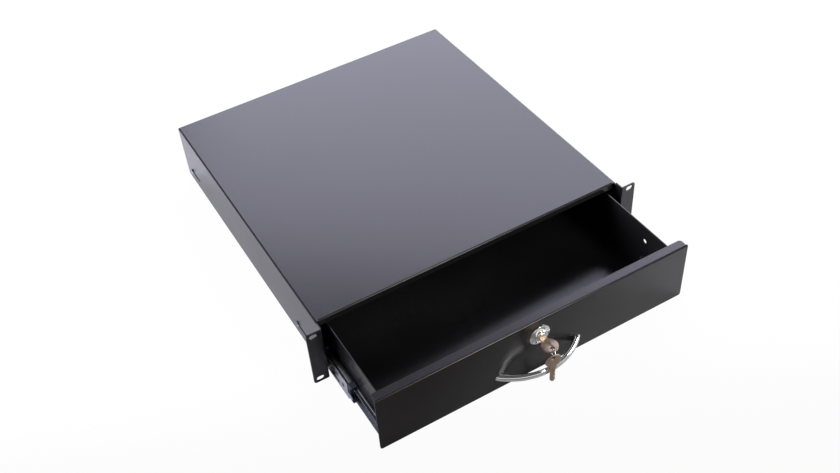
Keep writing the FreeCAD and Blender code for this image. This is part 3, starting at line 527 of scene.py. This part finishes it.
# ---- operators ---------------------------------------------------------------------------------
class RACKDRAWER_OT_finishes(bpy.types.Operator):
    """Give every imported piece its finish"""

    bl_idname = "rack_drawer.finishes"
    bl_label = "Finishes"

    def execute(self, context):
        look = context.scene.drawer_finishes
        coat = finish(
            "black_powder_coat", look.coat_dark, look.coat_light, metallic=0, gloss=look.coat_gloss,
            spread=0.05, cloud=0.11, grain=look.coat_grain, relief=0.00003,
        )
        zinc = finish(
            "zinc_plate", look.zinc_dark, look.zinc_light, metallic=1, gloss=0.25,
            spread=0.05, cloud=0.012, grain=0.0006, relief=0.00001, stretch=(1, 0.05, 1),
        )
        screw_zinc = finish(
            "screw_zinc", look.screw_dark, look.screw_light, metallic=1, gloss=0.26,
            spread=0.08, cloud=0.003, grain=0.0004, relief=0.000008,
        )
        retainer = finish(
            "retainer_steel", look.zinc_dark, look.zinc_dark, metallic=1, gloss=0.36,
            spread=0.08, cloud=0.006, grain=0.0005, relief=0.00001,
        )
        chrome = finish(
            "chrome_plate", look.chrome, look.chrome, metallic=1, gloss=0.045,
            spread=0.03, cloud=0.008, grain=0.0012, relief=0.000004,
        )
        steel = finish(
            "bearing_steel", look.zinc_light, look.chrome, metallic=1, gloss=0.10,
            spread=0.04, cloud=0.002, grain=0.0004, relief=0.000002,
        )
        brass = finish(
            "key_brass", look.brass_dark, look.brass_light, metallic=1, gloss=0.47,
            spread=0.08, cloud=0.004, grain=0.0004, relief=0.00001,
        )
        finish(
            "plug_nickel", look.plug_dark, look.plug_light, metallic=1, gloss=0.2,
            spread=0.06, cloud=0.003, grain=0.0005, relief=0.000006,
        )
        plastic = finish(
            "stop_plastic", look.plastic, [tone * 1.6 for tone in look.plastic], metallic=0, gloss=0.42,
            spread=0.08, cloud=0.004, grain=0.0005, relief=0.00001,
        )
        rubber = finish(
            "bumper_rubber", look.rubber, [tone * 1.5 for tone in look.rubber], metallic=0, gloss=0.7,
            spread=0.1, cloud=0.004, grain=0.0005, relief=0.00003,
        )
        screws = ("base_screws", "rear_screws", "side_screws", "wall_screws", "handle_screws", "cam_screw")
        worn = {
            coat: ("case_cover", "case_base", "drawer_tray", "drawer_front"),
            screw_zinc: (*screws, "panel_nuts", "lock_nut", "lock_cam"),
            chrome: ("handle", "lock_housing", "key_ring"),
            brass: ("key_in_lock", "spare_key", "lock_plug"),
        }
        for material, names in worn.items():
            for name in names:
                give(name, material)
        for side in SIDES:
            for name in ("slide_outer", "slide_mid", "slide_inner"):
                give(f"{name}_{side}", zinc)
            for name in ("outer_cage", "inner_cage"):
                give(f"{name}_{side}", retainer)
            for name in ("outer_balls", "inner_balls"):
                give(f"{name}_{side}", steel)
            give(f"slide_stop_{side}", plastic)
            give(f"rear_bumper_{side}", rubber)
        return {"FINISHED"}


class RACKDRAWER_OT_screws(bpy.types.Operator):
    """Make the pan-head and countersunk screws"""

    bl_idname = "rack_drawer.screws"
    bl_label = "Screws"

    def execute(self, context):
        sizes = context.scene.drawer_fasteners
        zinc = bpy.data.materials["screw_zinc"]
        head = pan_head(sizes)
        inside_hole = 0.97
        rows = (
            ("side_screws", "case", lambda side: (side, 0, 0)),
            ("rear_screws", "case", lambda side: (0, 1, 0)),
            ("wall_screws", "drawer", lambda side: (-side, 0, 0)),
            ("handle_screws", "drawer", lambda side: (0, 1, 0)),
            ("cam_screw", "lock_core", lambda side: (0, 1, 0)),
        )
        for node, body, facing in rows:
            parts = []
            for low, high in solid_places(node):
                axis = Vector(facing(math.copysign(1, low.x)))
                reach = abs(axis.dot(high - low))
                top = (low + high) / 2 + axis * reach / 2
                place = stood(axis, top - axis * sizes.head_height)
                thread = bmesh.new()
                shank(thread, sizes.shank_radius * inside_hole, -(reach - sizes.head_height), 0)
                parts += [(head, place), (thread, place)]
            finished_piece(gathered(parts), f"visible_{node}", zinc, body, (node,))
        small = flat_head(sizes)
        slope = sizes.small_head_radius - sizes.small_shank_radius
        parts = []
        for low, high in solid_places("base_screws"):
            centre = (low + high) / 2
            place = stood((0, 0, -1), (centre.x, centre.y, low.z))
            thread = bmesh.new()
            shank(thread, sizes.small_shank_radius * inside_hole, low.z - high.z, -slope)
            parts += [(small, place), (thread, place)]
        finished_piece(gathered(parts), "visible_base_screws", zinc, "case", ("base_screws",))
        return {"FINISHED"}


class RACKDRAWER_OT_nuts(bpy.types.Operator):
    """Make the nuts on the panel's studs and on the lock"""

    bl_idname = "rack_drawer.nuts"
    bl_label = "Nuts"

    def execute(self, context):
        sizes = context.scene.drawer_fasteners
        zinc = bpy.data.materials["screw_zinc"]
        round_thread = 1.03
        parts = []
        for low, high in solid_places("panel_nuts"):
            centre = (low + high) / 2
            nut = hex_nut(sizes.nut_across, high.y - low.y, sizes.shank_radius * round_thread)
            parts.append((nut, stood((0, 1, 0), (centre.x, low.y, centre.z))))
        finished_piece(gathered(parts), "visible_panel_nuts", zinc, "drawer", ("panel_nuts",))
        low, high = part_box("lock_nut")
        centre = (low + high) / 2
        nut = hex_nut(sizes.lock_nut_across, high.y - low.y, context.scene.drawer_lock.barrel_radius)
        turned = stood((0, 1, 0), (centre.x, low.y, centre.z))
        if high.z - low.z > high.x - low.x:
            turned = turned @ Matrix.Rotation(math.pi / 6, 4, "Z")
        nut.transform(turned)
        finished_piece(nut, "visible_lock_nut", zinc, "drawer", ("lock_nut",))
        return {"FINISHED"}


class RACKDRAWER_OT_handle(bpy.types.Operator):
    """Make the chromed bow handle"""

    bl_idname = "rack_drawer.handle"
    bl_label = "Handle"

    def execute(self, context):
        sizes = context.scene.drawer_lock
        low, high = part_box("handle")
        reach = high.y - low.y
        half = (high.x - low.x) / 2
        level = (low.z + high.z) / 2
        tall = (high.z - low.z) / 2
        bm = bmesh.new()
        stations = 64
        loops = []
        for index in range(stations + 1):
            along = 2 * index / stations - 1
            outer = arc_point(half, reach, along)
            inner = arc_point(half - sizes.handle_foot, reach - sizes.handle_waist, along)
            middle = (outer + inner) / 2
            side = (outer - inner).normalized()
            verts = ring_of(bm, 1, 0, 24)
            for vert in verts:
                flat = middle + side * fuller(vert.co.x, sizes.handle_fullness) * (outer - inner).length / 2
                up = fuller(vert.co.y, sizes.handle_fullness) * tall
                vert.co = Vector((flat.x, high.y - max(flat.y, 0), level + up))
            loops.append(verts)
        lofted(bm, loops)
        chrome = bpy.data.materials["chrome_plate"]
        finished_piece(bm, "bow_handle", chrome, "drawer", ("handle",), angle=50)
        return {"FINISHED"}


def arc_point(half, reach, along):
    """Point on the arc through both feet and the middle, along from -1 to 1; y is how far it stands out."""
    radius = (half * half + reach * reach) / (2 * reach)
    sweep = math.asin(min(1, half / radius))
    if reach > radius:
        sweep = math.pi - sweep
    angle = sweep * along
    return Vector((radius * math.sin(angle), radius * math.cos(angle) - (radius - reach), 0))


def fuller(value, fullness):
    """Moves a cosine or sine of a circle out towards the side of the square round it."""
    return math.copysign(abs(value) ** (2 / fullness), value)


class RACKDRAWER_OT_lock(bpy.types.Operator):
    """Make the lock's head, threaded barrel, plug and cam"""

    bl_idname = "rack_drawer.lock"
    bl_label = "Lock"

    def execute(self, context):
        sizes = context.scene.drawer_lock
        chrome = bpy.data.materials["chrome_plate"]
        low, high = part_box("lock_housing")
        centre = (low + high) / 2
        head_radius = (high.x - low.x) / 2
        panel = low.y + sizes.nose_reach
        plug_low, plug_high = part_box("lock_plug")
        bore = (plug_high.x - plug_low.x) / 2 + sizes.plug_gap
        nose = sizes.nose_radius
        reach = sizes.nose_reach
        rim = sizes.head_rim
        barrel = high.y - panel
        chamfer = 0.0003
        thread_depth = 0.0006
        bm = bmesh.new()
        # From the bore over the nose's round edge, down its slope and out to the rim.
        profile = [
            (bore, -barrel),
            (bore, reach - chamfer),
            (bore + chamfer, reach),
            (nose - 0.0005, reach),
            (nose - 0.0001, reach - 0.0002),
            (nose, reach - 0.0006),
            (nose + 0.0004, reach - 0.0012),
            (head_radius - 0.0022, rim + 0.0005),
            (head_radius - 0.0014, rim + 0.0002),
            (head_radius - 0.0010, rim + 0.0002),
            (head_radius - chamfer, rim),
            (head_radius, rim - chamfer),
            (head_radius, 0),
            (sizes.barrel_radius, 0),
        ]
        turns = int(barrel / sizes.thread_pitch)
        root = sizes.barrel_radius - thread_depth
        for index in range(turns):
            start = -barrel * index / turns
            profile.append((root, start - 0.0001))
            profile.append((sizes.barrel_radius, start - barrel / turns / 2))
        profile += [(root, -barrel), (bore, -barrel)]
        spun(bm, profile)
        half_flats = sizes.barrel_flats / 2
        for vert in bm.verts:
            if vert.co.z < -1e-6:
                vert.co.x = max(-half_flats, min(half_flats, vert.co.x))
        place = stood((0, -1, 0), (centre.x, panel, centre.z))
        bm.transform(place)
        finished_piece(bm, "lock_body", chrome, "drawer", ("lock_housing",), angle=40)

        radius = bore - sizes.plug_gap
        front = panel - plug_low.y
        back = panel - plug_high.y
        keyway_room = 0.0005
        key_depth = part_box("key_in_lock")[1].y - plug_low.y + keyway_room
        bm = bmesh.new()
        steps = 48
        keyway_fullness = 2 / 0.45
        loops = [
            ring_of(bm, radius, back + sizes.cam_seat_depth, steps),
            ring_of(bm, radius, front - chamfer, steps),
            ring_of(bm, radius - chamfer, front, steps),
        ]
        for depth, grow in ((front, 1.08), (front - chamfer, 1.0), (front - key_depth, 1.0)):
            verts = ring_of(bm, 1, depth, steps)
            for vert in verts:
                vert.co.x = fuller(vert.co.x, keyway_fullness) * sizes.keyway_width / 2 * grow
                vert.co.y = fuller(vert.co.y, keyway_fullness) * sizes.keyway_height / 2 * grow
            loops.append(verts)
        lofted(bm, loops)
        half_seat = sizes.cam_seat_flats / 2
        seat = [ring_of(bm, radius * 0.98, height, steps) for height in (back, back + sizes.cam_seat_depth)]
        for vert in seat[0] + seat[1]:
            vert.co.x = max(-half_seat, min(half_seat, vert.co.x))
        lofted(bm, seat)
        bm.transform(place)
        nickel = bpy.data.materials["plug_nickel"]
        finished_piece(bm, "turning_plug", nickel, "lock_core", ("lock_plug",), angle=40)
        cam = softened("lock_cam", sizes.cam_round)
        zinc = bpy.data.materials["screw_zinc"]
        finished_piece(cam, "cranked_cam", zinc, "lock_core", ("lock_cam",), angle=40)
        return {"FINISHED"}


def key_hole_centre():
    """Middle of the hole in the bow of the key in the lock."""
    low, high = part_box("key_in_lock")
    rim = bpy.context.scene.drawer_lock.key_hole_rim
    return Vector(((low.x + high.x) / 2, low.y + rim, (low.z + high.z) / 2))


class RACKDRAWER_OT_keys(bpy.types.Operator):
    """Make both keys and the ring that joins them"""

    bl_idname = "rack_drawer.keys"
    bl_label = "Keys"

    def execute(self, context):
        sizes = context.scene.drawer_lock
        brass = bpy.data.materials["key_brass"]
        chrome = bpy.data.materials["chrome_plate"]
        hole = key_hole_centre()
        turn = Matrix.Rotation(-sizes.ring_turn, 4, "Z")
        hang = Matrix.Translation(hole) @ turn @ Matrix.Translation(-hole)
        for node, body in (("key_in_lock", "key"), ("spare_key", "spare")):
            bm = softened(node, sizes.key_round)
            if body == "spare":
                bm.transform(hang)
            finished_piece(bm, f"rounded_{node}", brass, body, (node,), angle=40)
        low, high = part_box("key_ring")
        centre = (low + high) / 2
        radius = (high.z - low.z) / 2 - sizes.ring_wire
        bm = bmesh.new()
        around = [math.tau * index / 16 for index in range(16)]
        wire = [
            (radius + sizes.ring_wire * math.cos(turn), sizes.ring_wire * math.sin(turn)) for turn in around
        ]
        spun(bm, wire, steps=72, closed=True)
        bm.transform(hang @ stood((1, 0, 0), centre))
        finished_piece(bm, "round_key_ring", chrome, "ring", ("key_ring",))
        return {"FINISHED"}


class RACKDRAWER_OT_balls(bpy.types.Operator):
    """Make the balls in the slides' retainers"""

    bl_idname = "rack_drawer.balls"
    bl_label = "Bearing balls"

    def execute(self, context):
        steel = bpy.data.materials["bearing_steel"]
        for side in SIDES:
            for row in ("outer", "inner"):
                node = f"{row}_balls_{side}"
                parts = []
                for low, high in solid_places(node):
                    ball = bmesh.new()
                    bmesh.ops.create_icosphere(ball, subdivisions=3, radius=(high.y - low.y) / 2)
                    parts.append((ball, Matrix.Translation((low + high) / 2)))
                body = f"{row}_race_{side}"
                name = f"round_{node}"
                finished_piece(gathered(parts), name, steel, body, (node,), angle=80)
        return {"FINISHED"}


class RACKDRAWER_OT_stage(bpy.types.Operator):
    """Set up the floor, the lamps and the camera"""

    bl_idname = "rack_drawer.stage"
    bl_label = "Stage"

    def execute(self, context):
        scene = context.scene
        stage = scene.drawer_stage
        below = 0.0002
        bm = bmesh.new()
        laid = Matrix.Translation((0, 0, cad_box[0][2] - below))
        bmesh.ops.create_grid(bm, x_segments=8, y_segments=8, size=9, matrix=laid)
        mesh = bpy.data.meshes.new("studio_floor")
        bm.to_mesh(mesh)
        bm.free()
        floor = bpy.data.objects.new("studio_floor", mesh)
        scene.collection.objects.link(floor)
        mesh.materials.append(floor_with_painted_shadow(stage))
        add_lamp(
            "lamp_behind", stage.back_lamp, place=(1.85, 2.50, 1.88), size=(3.6, 2.3),
            target=(0.0, 0.2, 0.0), tint=(0.82, 0.81, 1.0),
        )
        add_lamp(
            "lamp_in_front", stage.front_lamp, place=(0.62, -1.45, 1.15), size=(0.35, 0.7),
            target=(0.0, -0.05, 0.0), tint=(1.0, 0.96, 0.91),
        )
        add_lamp(
            "lamp_right", stage.side_lamp, place=(2.2, -0.9, 0.8), size=(1.0, 1.0),
            target=(0.1, -0.1, 0.0), tint=(0.93, 0.93, 1.0),
        )
        floor_lamp = add_lamp(
            "lamp_left", stage.left_lamp, place=(-2.2, 1.5, 0.95), size=(2.6, 1.5),
            target=(-0.2, 0.2, 0.0), tint=(0.88, 0.87, 1.0),
        )
        # Gloss shows the floor that it lights, and not the lamp.
        floor_lamp.visible_glossy = False
        scene.world = studio_sky(stage)
        scene.camera = studio_camera(stage)
        scene.collection.objects.link(scene.camera)
        scene.view_settings.view_transform = "Standard"
        return {"FINISHED"}


def studio_sky(stage):
    """World that lights evenly, and is seen as a white backdrop that darkens overhead."""
    world = bpy.data.worlds.new("studio_sky")
    world.use_nodes = True
    nodes = world.node_tree.nodes
    join = world.node_tree.links.new
    nodes.clear()
    out = nodes.new("ShaderNodeOutputWorld")
    lit = nodes.new("ShaderNodeBackground")
    seen = nodes.new("ShaderNodeBackground")
    mix = nodes.new("ShaderNodeMixShader")
    around = nodes.new("ShaderNodeTexCoord")
    height = nodes.new("ShaderNodeSeparateXYZ")
    fade = nodes.new("ShaderNodeMapRange")
    lit.inputs["Color"].default_value = (1.0, 0.97, 0.94, 1)
    lit.inputs["Strength"].default_value = stage.sky
    seen.inputs["Color"].default_value = (1, 1, 1, 1)
    fade.interpolation_type = "SMOOTHSTEP"
    fade.inputs["From Min"].default_value = stage.backdrop_foot
    fade.inputs["From Max"].default_value = stage.backdrop_top
    fade.inputs["To Min"].default_value = 1
    fade.inputs["To Max"].default_value = stage.ceiling
    join(around.outputs["Generated"], height.inputs[0])
    join(height.outputs["Z"], fade.inputs["Value"])
    join(fade.outputs["Result"], seen.inputs["Strength"])
    join(plain_rays(world.node_tree), mix.inputs["Fac"])
    join(lit.outputs["Background"], mix.inputs[1])
    join(seen.outputs["Background"], mix.inputs[2])
    join(mix.outputs["Shader"], out.inputs["Surface"])
    return world


def studio_camera(stage):
    """Camera that looks down at the drawer's front from the left."""
    camera = bpy.data.cameras.new("camera")
    camera.lens = stage.lens
    camera.sensor_width = 36
    camera.shift_x, camera.shift_y = stage.shift
    camera.clip_start = 0.01
    eye = bpy.data.objects.new("camera", camera)
    aim = Matrix.Rotation(stage.azimuth, 4, "Z") @ Matrix.Rotation(math.pi / 2 - stage.elevation, 4, "X")
    place = Matrix.Translation(stage.camera_place)
    eye.matrix_world = place @ aim @ Matrix.Rotation(stage.roll, 4, "Z")
    return eye


def plain_rays(tree):
    """Socket that is one for rays from the camera, in gloss and through glass."""
    path = tree.nodes.new("ShaderNodeLightPath")
    gloss = tree.nodes.new("ShaderNodeMath")
    glass = tree.nodes.new("ShaderNodeMath")
    for total in (gloss, glass):
        total.operation = "ADD"
        total.use_clamp = True
    tree.links.new(path.outputs["Is Camera Ray"], gloss.inputs[0])
    tree.links.new(path.outputs["Is Glossy Ray"], gloss.inputs[1])
    tree.links.new(gloss.outputs[0], glass.inputs[0])
    tree.links.new(path.outputs["Is Transmission Ray"], glass.inputs[1])
    return glass.outputs[0]


def floor_with_painted_shadow(stage):
    """Pale floor, mostly white whatever falls on it, with a painted shadow: it darkens in front of the
    drawer, where the drawer's shadow would fall.
    """
    material = bpy.data.materials.new("floor_with_painted_shadow")
    material.use_nodes = True
    tree = material.node_tree
    nodes = tree.nodes
    join = tree.links.new
    nodes.clear()
    out = nodes.new("ShaderNodeOutputMaterial")
    paint = nodes.new("ShaderNodeBsdfDiffuse")
    glow = nodes.new("ShaderNodeEmission")
    seen = nodes.new("ShaderNodeLightPath")
    amount = nodes.new("ShaderNodeMapRange")
    seen_white = nodes.new("ShaderNodeMath")
    mix = nodes.new("ShaderNodeMixShader")
    # These nodes paint a shadow on the floor. Its tone fades to the dark colour in front of the drawer,
    # past an edge turned about Z, and gloss shows this painted shade far more than the camera does.
    place = nodes.new("ShaderNodeTexCoord")
    turned = nodes.new("ShaderNodeVectorRotate")
    ahead = nodes.new("ShaderNodeSeparateXYZ")
    sheet = nodes.new("ShaderNodeMapRange")
    tone = nodes.new("ShaderNodeMix")
    turned.rotation_type = "Z_AXIS"
    turned.inputs["Angle"].default_value = stage.painted_shadow_turn
    sheet.interpolation_type = "SMOOTHSTEP"
    sheet.inputs["From Min"].default_value = -stage.painted_shadow_full
    sheet.inputs["From Max"].default_value = -stage.painted_shadow_start
    tone.data_type = "RGBA"
    tone.inputs["A"].default_value = (*stage.painted_shadow_colour, 1)
    tone.inputs["B"].default_value = (*stage.floor_colour, 1)
    join(place.outputs["Object"], turned.inputs["Vector"])
    join(turned.outputs["Vector"], ahead.inputs[0])
    join(ahead.outputs["Y"], sheet.inputs["Value"])
    join(sheet.outputs["Result"], tone.inputs["Factor"])
    join(tone.outputs["Result"], paint.inputs["Color"])
    glow.inputs["Color"].default_value = (1, 1, 1, 1)
    glow.inputs["Strength"].default_value = 1
    amount.inputs["To Min"].default_value = stage.floor_mirrored
    amount.inputs["To Max"].default_value = stage.floor_glow
    seen_white.operation = "MULTIPLY"
    join(seen.outputs["Is Camera Ray"], amount.inputs["Value"])
    join(amount.outputs["Result"], seen_white.inputs[0])
    join(plain_rays(tree), seen_white.inputs[1])
    join(seen_white.outputs[0], mix.inputs["Fac"])
    join(paint.outputs["BSDF"], mix.inputs[1])
    join(glow.outputs["Emission"], mix.inputs[2])
    join(mix.outputs["Shader"], out.inputs["Surface"])
    return material


def add_lamp(name, power, place, size, target, tint):
    """Soft rectangular lamp that faces a point."""
    lamp = bpy.data.lights.new(name, "AREA")
    lamp.color = tint
    lamp.shape = "RECTANGLE"
    lamp.size, lamp.size_y = size
    lamp.energy = power
    holder = bpy.data.objects.new(name, lamp)
    aim = (Vector(target) - Vector(place)).to_track_quat("-Z", "Y").to_matrix().to_4x4()
    holder.matrix_world = Matrix.Translation(place) @ aim
    bpy.context.scene.collection.objects.link(holder)
    return holder


class RACKDRAWER_PT_panel(bpy.types.Panel):
    """Builds and dresses the rack drawer"""

    bl_idname = "RACKDRAWER_PT_panel"
    bl_label = "Rack drawer"
    bl_space_type = "VIEW_3D"
    bl_region_type = "UI"
    bl_category = "Rack Drawer"

    def draw(self, context):
        for group, operators in GROUPS.items():
            box = self.layout.box()
            settings = getattr(context.scene, group)
            for name in settings.__annotations__:
                box.prop(settings, name)
            for operator in operators:
                box.operator(operator)


GROUPS = {
    "drawer_finishes": ("rack_drawer.finishes",),
    "drawer_fasteners": ("rack_drawer.screws", "rack_drawer.nuts", "rack_drawer.balls"),
    "drawer_lock": ("rack_drawer.handle", "rack_drawer.lock", "rack_drawer.keys"),
    "drawer_stage": ("rack_drawer.stage",),
}
SETTINGS = {
    "drawer_finishes": DrawerFinishes,
    "drawer_fasteners": DrawerFasteners,
    "drawer_lock": DrawerLock,
    "drawer_stage": DrawerStage,
}
CLASSES = (
    *SETTINGS.values(),
    RACKDRAWER_OT_finishes,
    RACKDRAWER_OT_screws,
    RACKDRAWER_OT_nuts,
    RACKDRAWER_OT_handle,
    RACKDRAWER_OT_lock,
    RACKDRAWER_OT_keys,
    RACKDRAWER_OT_balls,
    RACKDRAWER_OT_stage,
    RACKDRAWER_PT_panel,
)


def register():
    """Adds the drawer's classes and settings."""
    for cls in CLASSES:
        bpy.utils.register_class(cls)
    for name, cls in SETTINGS.items():
        setattr(bpy.types.Scene, name, PointerProperty(type=cls))


def unregister():
    """Takes the drawer's classes and settings away."""
    for name in SETTINGS:
        delattr(bpy.types.Scene, name)
    for cls in reversed(CLASSES):
        bpy.utils.unregister_class(cls)


def main():
    """Dresses the frame."""
    register()
    bpy.ops.rack_drawer.finishes()
    bpy.ops.rack_drawer.screws()
    bpy.ops.rack_drawer.nuts()
    bpy.ops.rack_drawer.handle()
    bpy.ops.rack_drawer.lock()
    bpy.ops.rack_drawer.keys()
    bpy.ops.rack_drawer.balls()
    bpy.ops.rack_drawer.stage()


if __name__ == "__main__":
    main()
